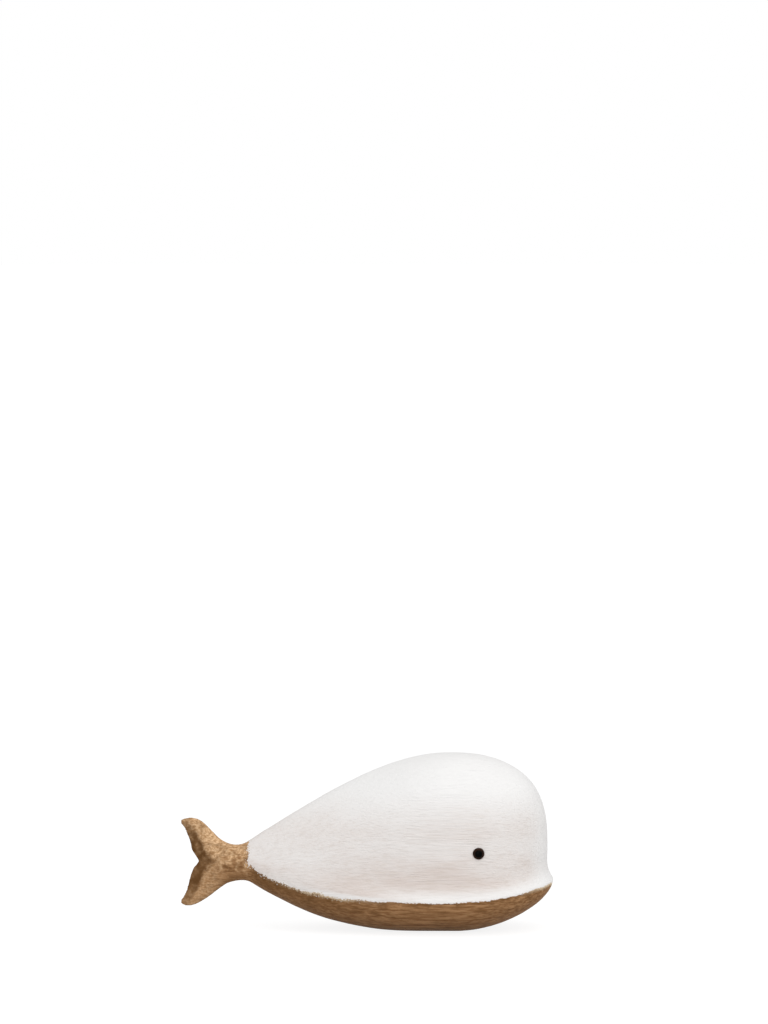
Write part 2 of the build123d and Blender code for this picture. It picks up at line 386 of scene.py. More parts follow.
@dataclass(frozen=True)
class Paint:
    """Chalky white paint: thick on the crown and the lip, thin and warmer on the sides, where its darker
    thin colour is also painted shade.
    """

    thick: Colour = srgb(243, 242, 241)
    # The thin colour is darker than the thick one. It stands for thin paint and also for painted shade.
    thin: Colour = srgb(223, 212, 206)
    line: Colour = srgb(212, 200, 191)
    roughness: float = 0.82
    specular: float = 0.07
    clouds: Pattern = Pattern((10, 24, 30), 4, 0.6, (0.3, 0.7), (0.55, 1.15))
    lines: Pattern = Pattern((60, 640, 900), 3, 0.55, (0.46, 0.72), (0.0, 0.7))
    ridges: Pattern = Pattern((58, 620, 880), 3, 0.55)
    ridge_depth: float = 0.68 * MILLIMETRE
    stipple: Pattern = Pattern((700, 1300, 1300), 2, 0.6)
    stipple_depth: float = 0.05 * MILLIMETRE

    def colour(self, graph: Graph) -> Socket:
        """Draw the paint's colour, with painted shade where it is thin.

        Args:
            graph: The material to draw in.

        Returns:
            The colour.
        """
        # Where the paint is thin it is drawn darker, which paints the shade on the sides and above the lip.
        thinness_and_shade = graph.math("MULTIPLY", graph.attribute(Attribute.THIN), graph.banded(self.clouds))
        base = graph.blend(thinness_and_shade, self.thick, self.thin)
        return graph.blend(graph.banded(self.lines), base, graph.blend(thinness_and_shade, base, self.line))

    def relief(self, graph: Graph) -> Socket:
        """Draw the ridges of the grain and the brush's stipple, and give the normal that shows them."""
        ridges = graph.bump(graph.noise(self.ridges), self.ridge_depth)
        return graph.bump(graph.noise(self.stipple), self.stipple_depth, ridges)

    def material(self) -> Material:
        """Build the paint on its own."""
        graph = Graph("loose_paint")
        return graph.finish({"Base Color": self.colour(graph), "Normal": self.relief(graph),
                             "Roughness": self.roughness, "Specular IOR Level": self.specular})


@dataclass(frozen=True)
class Stain:
    """Brown stain on bare wood: even and deep on the belly, pale and blotched on the tail."""

    brown_light: Colour = srgb(177, 135, 95)
    brown_deep: Colour = srgb(126, 88, 53)
    tan_light: Colour = srgb(232, 194, 152)
    tan_deep: Colour = srgb(178, 136, 94)
    dark: Colour = srgb(100, 68, 36)
    roughness: float = 0.66
    grain: Pattern = Pattern((44, 520, 820), 5, 0.64, (0.33, 0.67), stir=0.15)
    mottle: Pattern = Pattern((460, 620, 700), 4, 0.7, (0.36, 0.64))
    patches: Pattern = Pattern((110, 170, 190), 4, 0.66, (0.42, 0.7), (0.0, 0.46))
    pores: Pattern = Pattern((150, 900, 1100), 2, 0.5, (0.58, 0.74), (0.0, 0.5))
    furrows: Pattern = Pattern((60, 500, 640), 4, 0.6)
    furrow_depth: float = 0.2 * MILLIMETRE

    def colour(self, graph: Graph) -> Socket:
        """Draw the stain's colour.

        Args:
            graph: The material to draw in.

        Returns:
            The colour.
        """
        brown = graph.blend(graph.banded(self.grain), self.brown_deep, self.brown_light)
        tan = graph.blend(graph.banded(self.mottle), self.tan_deep, self.tan_light)
        wood = graph.blend(graph.attribute(Attribute.TAN), brown, tan)
        for marks in (self.patches, self.pores):
            wood = graph.blend(graph.banded(marks), wood, self.dark)
        # The shade attribute blends in darker stain and painted shade.
        return graph.blend(graph.attribute(Attribute.SHADE), wood, self.dark)

    def relief(self, graph: Graph) -> Socket:
        """Draw the open grain, and give the normal that shows it."""
        return graph.bump(graph.noise(self.furrows), self.furrow_depth)


@dataclass(frozen=True)
class PaintedWood:
    """Stained wood under paint that ends in a brushed, ragged edge."""

    name: str
    stain: Stain = Stain()
    paint: Paint = Paint()
    edge_blur: float = 0.2 * MILLIMETRE
    sway: Pattern = Pattern((90, 110, 110), 2, 0.5)
    sway_reach: float = 3.2
    spray: Pattern = Pattern((560, 900, 900), 4, 0.7)
    spray_reach: float = 5.5
    haze: Colour = srgb(226, 206, 176)
    haze_width: float = 2.6 * MILLIMETRE

    def edge(self, graph: Graph) -> Socket:
        """Draw how far a place lies inside the paint's ragged edge.

        Args:
            graph: The material to draw in.

        Returns:
            The distance in metres, less than 0 on bare wood.
        """
        moves = []
        for pattern, reach in ((self.sway, self.sway_reach), (self.spray, self.spray_reach)):
            about_zero = graph.math("SUBTRACT", graph.noise(pattern), NOISE_MIDDLE)
            moves.append(graph.math("MULTIPLY", about_zero, reach))
        moved = graph.math("MULTIPLY", graph.math("ADD", *moves), graph.attribute(Attribute.RAGGED))
        return graph.math("ADD", graph.attribute(Attribute.PAINT), moved)

    def material(self) -> Material:
        """Build the material.

        Returns:
            The finished material.
        """
        graph = Graph(self.name)
        edge = self.edge(graph)
        painted = graph.rise(edge, (-self.edge_blur, self.edge_blur))
        near = graph.rise(edge, (-self.haze_width, 0.0))
        dusted = graph.math("MULTIPLY", near, graph.attribute(Attribute.HAZE))
        wood = graph.blend(dusted, self.stain.colour(graph), self.haze)
        return graph.finish({
            "Base Color": graph.blend(painted, wood, self.paint.colour(graph)),
            "Roughness": graph.rise(painted, (0.0, 1.0), (self.stain.roughness, self.paint.roughness)),
            "Specular IOR Level": self.paint.specular,
            "Normal": graph.mix("VECTOR", painted, self.stain.relief(graph), self.paint.relief(graph))})


@dataclass(frozen=True)
class BeadGlass:
    """Polished black bead, a little brown toward its rim: a brown tint, and painted reflection where the
    dome turns away.
    """

    black: Colour = srgb(3, 3, 3)
    # Brown at the rim: a brown tint, which also paints the rim's reflection.
    brown: Colour = srgb(74, 50, 38)
    rim_tint_and_reflection_band: Band = (0.5, 0.95)
    polish: Pattern = Pattern((700, 700, 700), 2, 0.5, (0.3, 0.7), (0.05, 0.11))
    ior: float = 1.4
    specular: float = 0.04

    def material(self) -> Material:
        """Build the material.

        Returns:
            The finished material.
        """
        graph = Graph("black_bead")
        # Painted reflection: the rim is drawn lighter brown, standing in for what it reflects, along with
        # its own brown tint.
        rim = graph.rise(graph.attribute(Attribute.RIM), self.rim_tint_and_reflection_band)
        rim = graph.math("MULTIPLY", rim, graph.noise(self.polish))
        return graph.finish({"Base Color": graph.blend(rim, self.black, self.brown),
                             "Roughness": graph.banded(self.polish),
                             "IOR": self.ior, "Specular IOR Level": self.specular})


@dataclass(frozen=True)
class PegWood:
    """Plain sanded dowel."""

    pale: Colour = srgb(205, 172, 128)
    dark: Colour = srgb(168, 130, 88)
    streaks: Pattern = Pattern((180, 420, 60), 4, 0.6, (0.35, 0.65))
    streak_depth: float = 0.1 * MILLIMETRE
    roughness: float = 0.7

    def material(self) -> Material:
        """Build the material.

        Returns:
            The finished material.
        """
        graph = Graph("peg_wood")
        streaks = graph.banded(self.streaks)
        return graph.finish({"Base Color": graph.blend(streaks, self.pale, self.dark),
                             "Normal": graph.bump(streaks, self.streak_depth), "Roughness": self.roughness})


@dataclass
class Seams:
    """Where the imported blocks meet: the upright tail joint and the curved seam over the belly."""

    probe: float = 6 * MILLIMETRE
    stations: int = 120
    joint_x: float = field(init=False)
    line: Array = field(init=False)

    def __post_init__(self) -> None:
        """Read the joint and the seam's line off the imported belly."""
        low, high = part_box(Block.BELLY.value)
        self.joint_x = low.x
        belly = merged_copy(Block.BELLY.value)
        tree = BVHTree.FromBMesh(belly)
        belly.free()
        stations = np.linspace(low.x, high.x, self.stations + 2)[1:-1]
        starts = [Vector((x, self.probe, 2 * high.z)) for x in stations]
        hits = [tree.ray_cast(start, Vector((0, 0, -1)))[0] for start in starts]
        self.line = np.array([(x, hit.z) for x, hit in zip(stations, hits) if hit is not None]).T

    def height(self, x: Array) -> Array:
        """Height of the seam over the belly at places along the whale."""
        return np.interp(x, self.line[0], self.line[1])

    def ahead(self, points: Array) -> Array:
        """How far points lie ahead of the tail joint."""
        return points[:, 0] - self.joint_x

    def above(self, points: Array) -> Array:
        """How far points lie above the seam over the belly."""
        return points[:, 2] - self.height(points[:, 0])


@dataclass
class Coat:
    """Where the paint lies: its edge, how thin it is, which also paints shade, and where it is scuffed over
    the wood.
    """

    seams: Seams
    thickness: float = 0.14 * MILLIMETRE
    lift: float = 1.1 * MILLIMETRE
    sag: float = 1.7 * MILLIMETRE
    sag_ahead: float = 74 * MILLIMETRE
    sag_length: float = 34 * MILLIMETRE
    rough_edge: float = 1.5 * MILLIMETRE
    neat_edge: float = 0.7 * MILLIMETRE
    neat_ahead: Band = mm(30, 110)
    least_wall: float = 6 * MILLIMETRE
    flank_rows: Band = (0.22, 0.42)
    flank_cover: float = 0.45
    front_ahead: Band = mm(10, 70)
    rear_cover: float = 0.3
    brow_depth: Band = mm(-19.5, -6.5)
    brow_cover: float = 0.8
    crown_rows: Band = mm(70, 104)
    cove_rows: Band = (0.12, 0.3)
    cove_shade: float = 0.45
    cove_shade_ahead: float = 66 * MILLIMETRE
    cove_shade_length: float = 30 * MILLIMETRE
    lip_ahead: Band = mm(50, 130)
    lip_rows: Band = mm(3.5, 13)
    line_rows: Band = mm(1.6, 4.5)
    lip_cover: float = 0.85
    haze_ahead: float = 52 * MILLIMETRE
    haze_length: float = 28 * MILLIMETRE
    haze_share: float = 0.8
    chin_depth: Band = mm(-28, 0)

    def distance(self, points: Array) -> Array:
        """How far points lie inside the painted part, less than 0 on bare wood.

        Args:
            points: The points, one a row.

        Returns:
            The distance of each.
        """
        ahead = self.seams.ahead(points)
        sag = self.sag * swell(self.sag_ahead, self.sag_length, ahead)
        return np.minimum(self.seams.above(points) - self.lift + sag, ahead)

    def neatness(self, points: Array) -> Array:
        """How neatly the paint's edge was cut in: 0 toward the tail and 1 along the lip."""
        return smooth_step(self.neat_ahead, self.seams.ahead(points))

    def raggedness(self, points: Array) -> Array:
        """How far the paint's edge strays."""
        return self.rough_edge + (self.neat_edge - self.rough_edge) * self.neatness(points)

    def thinness_and_shade(self, points: Array) -> Array:
        """How thin the paint lies, which also paints shade: full, and so lightest, on the crown and the
        lip, thin and darker low on the sides, and thinnest and darkest in the cove above the lip behind the
        middle.

        Args:
            points: The points, one a row.

        Returns:
            How thin the paint is at each, which also gives its painted shade, about 1 where it is thinnest.
        """
        stations = np.round((points[:, 0] - points[:, 0].min()) / MILLIMETRE).astype(int)
        tops = np.zeros(stations.max() + 1)
        np.maximum.at(tops, stations, points[:, 2])
        above = self.seams.above(points)
        ahead = self.seams.ahead(points)
        row = above / np.maximum(tops[stations] - points[:, 2] + above, self.least_wall)
        front = smooth_step(self.front_ahead, ahead)
        side = 1.0 - self.flank_cover * smooth_step(self.flank_rows, row)
        side *= 1.0 - self.rear_cover * (1.0 - front)
        side *= 1.0 - self.brow_cover * smooth_step(self.brow_depth, points[:, 0] - CAD_BOX[1].x)
        # Painted shade: the paint is drawn thinner, and so darker, low in the cove above the lip behind the
        # middle.
        undercut_shade = swell(self.cove_shade_ahead, self.cove_shade_length, ahead)
        side += self.cove_shade * undercut_shade * (1.0 - smooth_step(self.cove_rows, row))
        crown = smooth_step(self.crown_rows, points[:, 2])
        lip = smooth_step(self.lip_ahead, ahead) * (1.0 - smooth_step(self.lip_rows, above))
        line = front * (1.0 - smooth_step(self.line_rows, above))
        return side * (1.0 - crown) * (1.0 - self.lip_cover * np.maximum(lip, line))

    def haze(self, points: Array) -> Array:
        """How much paint is scuffed thin over the wood below its edge: behind the middle and on the chin.

        Args:
            points: The points, one a row.

        Returns:
            The haze at each, from 0 to 1.
        """
        behind_middle = swell(self.haze_ahead, self.haze_length, self.seams.ahead(points))
        chin = smooth_step(self.chin_depth, points[:, 0] - CAD_BOX[1].x)
        return np.maximum(self.haze_share * behind_middle, chin)


@dataclass
class Tail:
    """The tail's own carving and colour: the notch between the flukes and their trailing bevels."""

    seams: Seams
    notch_margin: float = 0.3
    bevel_width: float = 14.5 * MILLIMETRE
    bevel_reach: float = 30 * MILLIMETRE
    bevel_taper: float = 0.55
    bevel_behind: Band = (0.3, 0.45)
    bevel_share: float = 0.45
    bevel_curve: float = 1.7
    # The trailing edge is filled out by so many millimetres at so many above the notch.
    trail_heights: tuple[float, ...] = (-28, -14, -4, 0, 8, 20, 28)
    trail_pushes: tuple[float, ...] = (0.8, 0.7, 2.3, 0.6, 2.8, 1.4, 0.7)
    drop: float = 1.2 * MILLIMETRE
    drop_ahead: Band = mm(2, 22)
    drop_below: Band = mm(0, 16)
    tan_ahead: Band = mm(-2, 14)
    tan_rows: Band = (0.39, 0.62)
    tan_clouds: float = 0.22
    fluke_share: Band = (0.42, 0.72)
    fluke_tan: float = 0.55
    shade_width: Band = (0.0, 0.48)
    shade_clouds: float = 0.6
    shade_fade: float = 0.55
    shade_apart: Band = (0.5, 1.0)
    shade_mean: float = 0.93
    shade_swing: float = 0.34
    shade_limits: Band = (0.6, 1.05)
    low: Vector = field(init=False)
    high: Vector = field(init=False)
    notch_z: float = field(init=False)

    def __post_init__(self) -> None:
        """Read the tail's box."""
        self.low, self.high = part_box(Block.TAIL.value)

    def find_notch(self, points: Array) -> None:
        """Find the notch: the height at which the flukes' trailing edges lie furthest forward.

        Args:
            points: The skin's points, one a row.
        """
        margin = self.notch_margin * (self.high.z - self.low.z)
        heights = np.arange(self.low.z + margin, self.high.z - margin, MILLIMETRE)
        edges = [points[np.abs(points[:, 2] - height) < MILLIMETRE, 0].min() for height in heights]
        self.notch_z = float(heights[np.argmax(edges)])

    def apart(self, points: Array) -> Array:
        """How far points lie above or below the notch, 1 where the bevels end."""
        return np.abs(points[:, 2] - self.notch_z) / self.bevel_reach

    def bevel(self, points: Array) -> Array:
        """How far points lie into the bevel along the flukes' trailing edges, 1 on the edge.

        Args:
            points: The points, one a row.

        Returns:
            The share of the bevel at each.
        """
        heights = np.arange(self.low.z - MILLIMETRE, self.high.z, MILLIMETRE)
        rows = np.round((points[:, 2] - heights[0]) / MILLIMETRE).astype(int)
        edges = np.full(len(heights), self.seams.joint_x)
        np.minimum.at(edges, np.clip(rows, 0, len(heights) - 1), points[:, 0])
        into = points[:, 0] - np.interp(points[:, 2], heights, edges)
        width = self.bevel_width * (1.0 - self.bevel_taper * np.clip(self.apart(points), 0.0, 1.0))
        behind = -self.seams.ahead(points) / (self.seams.joint_x - CAD_BOX[0].x)
        return np.clip(1.0 - into / width, 0.0, 1.0) * smooth_step(self.bevel_behind, behind)

    def trim(self, points: Array, bevel: Array) -> None:
        """Thin the flukes to their trailing edges, fill those out beside the notch and drop the underside.

        Args:
            points: The skin's points, which are moved.
            bevel: The share of the trailing bevel at each.
        """
        above = points[:, 2] - self.notch_z
        on_tail = 1.0 - smooth_step(self.drop_ahead, self.seams.ahead(points))
        push = np.interp(above / MILLIMETRE, self.trail_heights, self.trail_pushes) * MILLIMETRE
        points[:, 1] *= 1.0 - self.bevel_share * bevel ** self.bevel_curve
        points[:, 0] -= bevel * push
        points[:, 2] -= self.drop * on_tail * smooth_step(self.drop_below, -above)

    def paleness(self, points: Array, clouds: Array) -> Array:
        """How pale the stain is: brown on the belly, tan on the tail and palest on its upper side.

        Args:
            points: The points, one a row.
            clouds: Noise at each point, which breaks up the change from tan to brown.

        Returns:
            The paleness at each, from 0 to 1.
        """
        size = self.high - self.low
        on_tail = 1.0 - smooth_step(self.tan_ahead, self.seams.ahead(points))
        on_flukes = 1.0 - smooth_step(self.fluke_share, (points[:, 0] - self.low.x) / size.x)
        row = (points[:, 2] - self.low.z) / size.z + self.tan_clouds * clouds
        return on_tail * np.maximum(smooth_step(self.tan_rows, row), self.fluke_tan * on_flukes)

    def shade(self, points: Array, clouds: Array) -> Array:
        """How dark the trailing bevels are drawn: darker stain, and painted shade where they face away from
        the light.

        Args:
            points: The points, one a row.
            clouds: Noise at each point, which breaks up the dark edge.

        Returns:
            The shade at each, from 0 to about 1.
        """
        edge = smooth_step(self.shade_width, self.bevel(points) * (1.0 + self.shade_clouds * clouds))
        fade = 1.0 - self.shade_fade * smooth_step(self.shade_apart, self.apart(points))
        return edge * fade * np.clip(self.shade_mean + self.shade_swing * clouds, *self.shade_limits)


@dataclass
class BeadEye:
    """One bead eye, turned about its shank."""

    node: str
    dome: float = 2.4 * MILLIMETRE
    rim: float = 1.5 * MILLIMETRE
    rim_round: float = 0.25 * MILLIMETRE
    shank: float = 2.4 * MILLIMETRE
    segments: int = 64
    dome_steps: int = 16
    sharp_angle: float = 50.0

    def profile(self, radius: float, length: float) -> list[tuple[float, float]]:
        """Radius and depth behind the tip along the bead's outline.

        Args:
            radius: The bead's radius.
            length: From the tip to the end of the shank.

        Returns:
            The outline from the tip to the shank's end.
        """
        sphere = (radius ** 2 + self.dome ** 2) / (2 * self.dome)
        reach = math.asin(min(1.0, radius / sphere))
        turns = [reach * i / self.dome_steps for i in range(1, self.dome_steps + 1)]
        outline = [(sphere * math.sin(a), sphere * (1 - math.cos(a))) for a in turns]
        foot = self.dome + self.rim
        outline += [(radius, self.dome + self.rim_round), (radius, foot - self.rim_round),
                    (radius - self.rim_round, foot), (self.shank / 2, foot), (self.shank / 2, length)]
        return outline

    def build(self) -> Piece:
        """Turn the bead.

        Returns:
            The bead, in its seat.
        """
        low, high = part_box(self.node)
        side = 1.0 if low.y + high.y > 0 else -1.0
        tip = max(abs(low.y), abs(high.y))
        radius = (high.x - low.x) / 2
        centre = Vector(((low.x + high.x) / 2, 0, (low.z + high.z) / 2))
        outline = self.profile(radius, abs(high.y - low.y))
        shape = bmesh.new()
        rims = shape.verts.layers.float.new(Attribute.RIM.value)
        rings = []
        for out, depth in outline:
            ring = []
            for i in range(self.segments):
                turn = 2 * math.pi * i / self.segments
                spot = centre + Vector((out * math.cos(turn), side * (tip - depth), out * math.sin(turn)))
                ring.append(shape.verts.new(spot))
                ring[-1][rims] = out / radius
            rings.append(ring)
        top = shape.verts.new(centre + Vector((0, side * tip, 0)))
        end = shape.verts.new(centre + Vector((0, side * (tip - outline[-1][1]), 0)))
        for i in range(self.segments):
            j = (i + 1) % self.segments
            for inner, outer in zip(rings, rings[1:]):
                shape.faces.new((inner[i], inner[j], outer[j], outer[i]))
            shape.faces.new((top, rings[0][j], rings[0][i]))
            shape.faces.new((end, rings[-1][i], rings[-1][j]))
        bmesh.ops.recalc_face_normals(shape, faces=shape.faces)
        mesh = to_mesh(shape, self.node + "_bead")
        mesh.shade_smooth()
        mesh.set_sharp_from_angle(angle=math.radians(self.sharp_angle))
        return new_object(self.node + "_bead", mesh)

    def dress(self, bead: Piece, glass: Material) -> None:
        """Finish the bead and hang it on the frame.

        Args:
            bead: The bead.
            glass: Its material.
        """
        bead.data.materials.append(glass)
        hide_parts(self.node)
        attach(bead, "root")
        log.info("%s: %d points", bead.name, len(bead.data.vertices))


@dataclass
class Drill:
    """Drills the holes that the dowels and the beads sit in, a little wider than they are."""

    clearance: float = 0.1 * MILLIMETRE
    spare: float = 1.0 * MILLIMETRE
    sides: int = 48

    def bit(self, middle: Vector, axis: int, width: float, length: float) -> Piece:
        """Shape a round hole.

        Args:
            middle: The hole's middle.
            axis: The axis that it runs along: 0, 1 or 2.
            width: How wide the piece that sits in it is.
            length: The hole's length.

        Returns:
            The hole's shape, as an object to cut with.
        """
        turn = Matrix.Rotation(0.0 if axis == 2 else math.pi / 2, 4, "YXZ"[axis])
        radius = (width + self.clearance) / 2
        shape = bmesh.new()
        bmesh.ops.create_cone(shape, cap_ends=True, segments=self.sides, radius1=radius, radius2=radius,
                              depth=length, matrix=Matrix.Translation(middle) @ turn)
        return new_object("hole", to_mesh(shape, "hole"))

    def peg_bits(self) -> list[Piece]:
        """Shape the holes that the dowels sit in, with room to spare at the ends.

        Returns:
            One hole a dowel.
        """
        bits = []
        for node in PEG_NODES:
            low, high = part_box(node)
            size = high - low
            axis = max(range(3), key=lambda i: size[i])
            bits.append(self.bit((low + high) / 2, axis, min(size), size[axis] + 2 * self.spare))
        return bits

    def eye_bits(self) -> list[Piece]:
        """Shape the seats of the beads and of their shanks.

        Returns:
            Two holes a bead.
        """
        bits = []
        for node in EYE_NODES:
            eye = BeadEye(node)
            low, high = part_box(node)
            middle = (low + high) / 2
            outward = math.copysign(1.0, middle.y)
            tip = middle.y + outward * (high.y - low.y) / 2
            foot = tip - outward * (eye.dome + eye.rim + self.clearance)
            end = tip - outward * (high.y - low.y + self.clearance)
            for width, inner, outer in ((high.x - low.x, foot, tip + outward * eye.dome),
                                        (eye.shank, end, foot + outward * eye.rim)):
                spot = Vector((middle.x, (inner + outer) / 2, middle.z))
                bits.append(self.bit(spot, 1, width, abs(outer - inner)))
        return bits

    def drill(self, mesh: Mesh, name: str) -> Mesh:
        """Drill the dowels' holes and the beads' seats into a block.

        Args:
            mesh: The block's mesh, which is used up.
            name: The drilled mesh's name.

        Returns:
            The drilled mesh.
        """
        holder = new_object("block", mesh)
        bits = self.peg_bits() + self.eye_bits()
        for bit in bits:
            hole = holder.modifiers.new("hole", "BOOLEAN")
            hole.operation = "DIFFERENCE"
            hole.solver = "EXACT"
            hole.object = bit
        drilled = settle(holder, *bits)
        drilled.name = name
        return drilled


@dataclass
class Carving:
    """The carved body: one skin over its three blocks, worked with a tool and cut apart at the joints."""

    seams: Seams = field(default_factory=Seams)
    drill: Drill = field(default_factory=Drill)
    coat: Coat = field(init=False)
    tail: Tail = field(init=False)
    voxel: float = 0.84 * MILLIMETRE
    smoothing: int = 4
    easing: int = 80
    ease_rate: float = 0.5
    lip_ahead: Band = mm(60, 100)
    lip_middle: float = 5.4 * MILLIMETRE
    lip_reach: Band = mm(7.2, 18)
    joint_reach: Band = mm(5.4, 18)
    spine_reach: Band = mm(4.5, 15)
    spine_ahead: Band = mm(0, 15)
    spine_above: Band = mm(18, 36)
    hollow_depth: float = 0.28 * MILLIMETRE
    hollow_length: float = 26 * MILLIMETRE
    ridge_depth: float = 0.07 * MILLIMETRE
    ridge_lengths: Triple = (40 * MILLIMETRE, 4.16 * MILLIMETRE, 3.2 * MILLIMETRE)
    base_keep: Band = mm(0, 1.5)
    cloud_length: float = 3.6 * MILLIMETRE
    cloud_fade: float = 1.0
    cloud_ratio: float = 2.0
    cloud_layers: int = 3
    bend_length: float = 1.5 * MILLIMETRE
    bend_edges: float = 3.0
    bend_spread: int = 3
    edge_shade_bend: Band = (0.25, 0.9)
    edge_shade_apart: Band = mm(1, 4)
    soaked_below: Band = mm(0, 10)
    soaked_fade: float = 0.5
    soaked_ahead: Band = mm(-4, 8)
    bevel_shade: float = 0.95
    edge_shade_strength: float = 0.45
    soaked_shade: float = 0.75

    def __post_init__(self) -> None:
        """Share the seams with the paint and the tail."""
        self.coat = Coat(self.seams)
        self.tail = Tail(self.seams)

    def skin(self) -> Mesh:
        """Wrap the three blocks in one even skin.

        Returns:
            The skin, before any carving.
        """
        blocks = bmesh.new()
        for block in Block:
            mesh = to_mesh(merged_copy(block.value), block.value)
            blocks.from_mesh(mesh)
            bpy.data.meshes.remove(mesh)
        holder = new_object("blocks", to_mesh(blocks, "blocks"))
        remesh = holder.modifiers.new("skin", "REMESH")
        remesh.mode = "VOXEL"
        remesh.voxel_size = self.voxel
        smooth = holder.modifiers.new("smooth", "SMOOTH")
        smooth.iterations = self.smoothing
        return settle(holder)

    def ease(self, skin: Mesh) -> None:
        """Rub the lip away toward the tail and round over the tail's joint and the spine.

        Args:
            skin: The skin to change.
        """
        points = points_of(skin)
        ahead = self.seams.ahead(points)
        above = self.seams.above(points)
        lip = 1.0 - smooth_step(self.lip_ahead, ahead)
        lip *= 1.0 - smooth_step(self.lip_reach, np.abs(above - self.lip_middle))
        joint = 1.0 - smooth_step(self.joint_reach, np.abs(ahead))
        spine = 1.0 - smooth_step(self.spine_reach, np.abs(points[:, 1]))
        spine *= smooth_step(self.spine_ahead, ahead)
        spine *= smooth_step(self.spine_above, above)
        weight = np.maximum.reduce([lip, joint, spine])
        edges = edges_of(skin)
        starts, ends = np.concatenate([edges, edges[:, ::-1]]).T
        near = np.flatnonzero(weight[starts] > 0)
        starts, ends = starts[near], ends[near]
        uses = np.maximum(np.bincount(starts, minlength=len(points)), 1)
        for _ in range(self.easing):
            for axis in range(3):
                middle = np.bincount(starts, points[ends, axis], len(points)) / uses
                points[:, axis] += self.ease_rate * weight * (middle - points[:, axis])
        move_points(skin, points)

    def worked(self) -> Mesh:
        """Work the skin: broad tool hollows, ridges along the grain, the paint's thickness and the bevels.

        Returns:
            The worked skin.
        """
        skin = self.skin()
        self.ease(skin)
        points = points_of(skin)
        normals = normals_of(skin)
        self.tail.find_notch(points)
        hollows = np.array([noise.noise(Vector(p)) for p in points / self.hollow_length])
        ridges = np.array([noise.noise(Vector(p)) for p in points / np.array(self.ridge_lengths)])
        paint = smooth_step((-self.voxel, self.voxel), self.coat.distance(points))
        lift = hollows * self.hollow_depth + ridges * self.ridge_depth + paint * self.coat.thickness
        lift *= smooth_step(self.base_keep, points[:, 2])
        bevel = self.tail.bevel(points)
        points += normals * lift[:, None]
        self.tail.trim(points, bevel)
        move_points(skin, points)
        return skin

    def cut(self, skin: Mesh, block: Block) -> Mesh:
        """Cut one block out of the worked skin, close it where it was cut and drill its holes.

        Args:
            skin: The worked skin.
            block: Which block to keep.

        Returns:
            The block's mesh.
        """
        part = bmesh.new()
        part.from_mesh(skin)
        tail = block is Block.TAIL
        self.slice(part, Vector((self.seams.joint_x, 0, 0)), Vector((-1, 0, 0) if tail else (1, 0, 0)))
        if not tail:
            self.shear(part, -1.0)
            self.slice(part, Vector((0, 0, 0)), Vector((0, 0, 1 if block is Block.UPPER else -1)))
            self.shear(part, 1.0)
        mesh = to_mesh(part, block.value)
        mesh.shade_smooth()
        return self.drill.drill(mesh, block.value + "_carved")

    def shear(self, part: Shape, sign: float) -> None:
        """Lower or raise points by the seam's height, so that the seam lies flat or curves again.

        Args:
            part: The shape to change.
            sign: -1 to lay the seam flat, 1 to curve it.
        """
        heights = self.seams.height(np.array([v.co.x for v in part.verts]))
        for vertex, height in zip(part.verts, heights):
            vertex.co.z += sign * height

    @staticmethod
    def slice(part: Shape, point: Vector, keep: Vector) -> None:
        """Cut a shape with a plane, keep one side and close the cut with a sharp-edged face.

        Args:
            part: The shape to cut.
            point: A point of the plane.
            keep: The direction of the side that stays.
        """
        everything = [*part.verts, *part.edges, *part.faces]
        bmesh.ops.bisect_plane(part, geom=everything, dist=ON_PLANE, plane_co=point, plane_no=-keep,
                               clear_outer=True)
        rim = [edge for edge in part.edges if edge.is_boundary]
        for edge in rim:
            edge.smooth = False
        bmesh.ops.triangle_fill(part, edges=rim, use_beauty=True)
        bmesh.ops.recalc_face_normals(part, faces=part.faces)

    def sharpness(self, mesh: Mesh, points: Array) -> Array:
        """How sharply the surface turns outward at each point, from 0 to 1.

        Args:
            mesh: The block's mesh.
            points: Its points, one a row.

        Returns:
            The sharpness at each point.
        """
        count = len(points)
        first, second = edges_of(mesh).T
        normals = normals_of(mesh)
        along = points[second] - points[first]
        length = np.linalg.norm(along, axis=1) + NOT_ZERO
        turn = np.einsum("ij,ij->i", normals[second] - normals[first], along) / length ** 2
        turn = np.where(length < self.bend_edges * self.voxel, turn, 0.0)
        bend = np.zeros(count)
        uses = np.full(count, NOT_ZERO)
        for ends in (first, second):
            np.add.at(bend, ends, turn)
            np.add.at(uses, ends, 1.0)
        bend /= uses
        for _ in range(self.bend_spread):
            spread = np.zeros(count)
            np.add.at(spread, first, bend[second])
            np.add.at(spread, second, bend[first])
            bend = (bend + spread / uses) / 2
        return np.clip(bend * self.bend_length, 0.0, 1.0)

    def label(self, mesh: Mesh) -> None:
        """Give a block's points the values that its finish reads.

        Args:
            mesh: The block's mesh.
        """
        points = points_of(mesh)
        ahead = self.seams.ahead(points)
        paint = self.coat.distance(points)
        fractal = (self.cloud_fade, self.cloud_ratio, self.cloud_layers)
        clouds = np.array([noise.fractal(Vector(p), *fractal) for p in points / self.cloud_length])
        # Painted shade: the wood is drawn darker along edges where the surface turns sharply outward.
        edge_shade = smooth_step(self.edge_shade_bend, self.sharpness(mesh, points))
        edge_shade *= smooth_step(self.edge_shade_apart, np.abs(ahead))
        soaked = 1.0 - self.soaked_fade * smooth_step(self.soaked_below, -paint)
        soaked *= (1.0 - self.coat.neatness(points)) * smooth_step(self.soaked_ahead, ahead)
